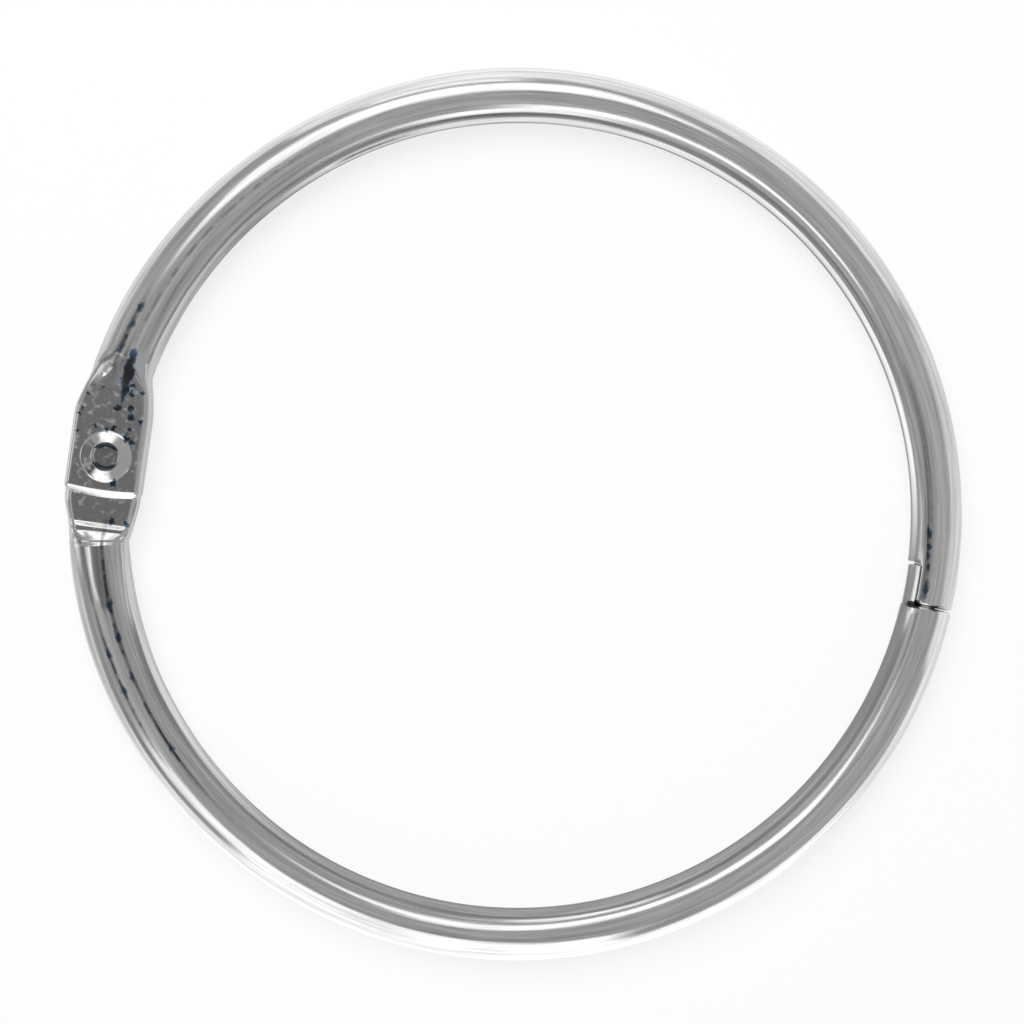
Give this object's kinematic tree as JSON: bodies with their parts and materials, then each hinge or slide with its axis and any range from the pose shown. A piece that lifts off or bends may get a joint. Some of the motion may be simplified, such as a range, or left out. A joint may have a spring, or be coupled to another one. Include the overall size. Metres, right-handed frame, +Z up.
{
  "type": "binder ring",
  "caption": "Hinged loose-leaf binder ring of rolled sheet metal, with a riveted clevis hinge and a stepped snap clasp.",
  "frame": {"origin": "centre of the closed ring's circle, on the surface that the ring lies on", "axes": "+Z up, along the ring's axis; the hinge is at -X and the snap clasp 4.8 degrees from +X, on the -Y side"},
  "size_m": [0.0728, 0.0724, 0.0045],
  "materials": {
    "nickel_plate": "bright nickel plating on rolled sheet steel, finely worn",
    "rivet_plate": "bright nickel plating on the clinched rivet"
  },
  "bodies": {
    "clevis_side": {"clevis_half": "nickel_plate", "hinge_rivet": "rivet_plate"},
    "tongue_side": {"tongue_half": "nickel_plate"}
  },
  "joints": [
    {"name": "ring_hinge", "type": "hinge", "parent": "clevis_side", "child": "tongue_side", "pos_m": [-0.0335, 0, 0.00225], "axis": [0, 0, -1], "range_deg": [0, 95]}
  ]
}
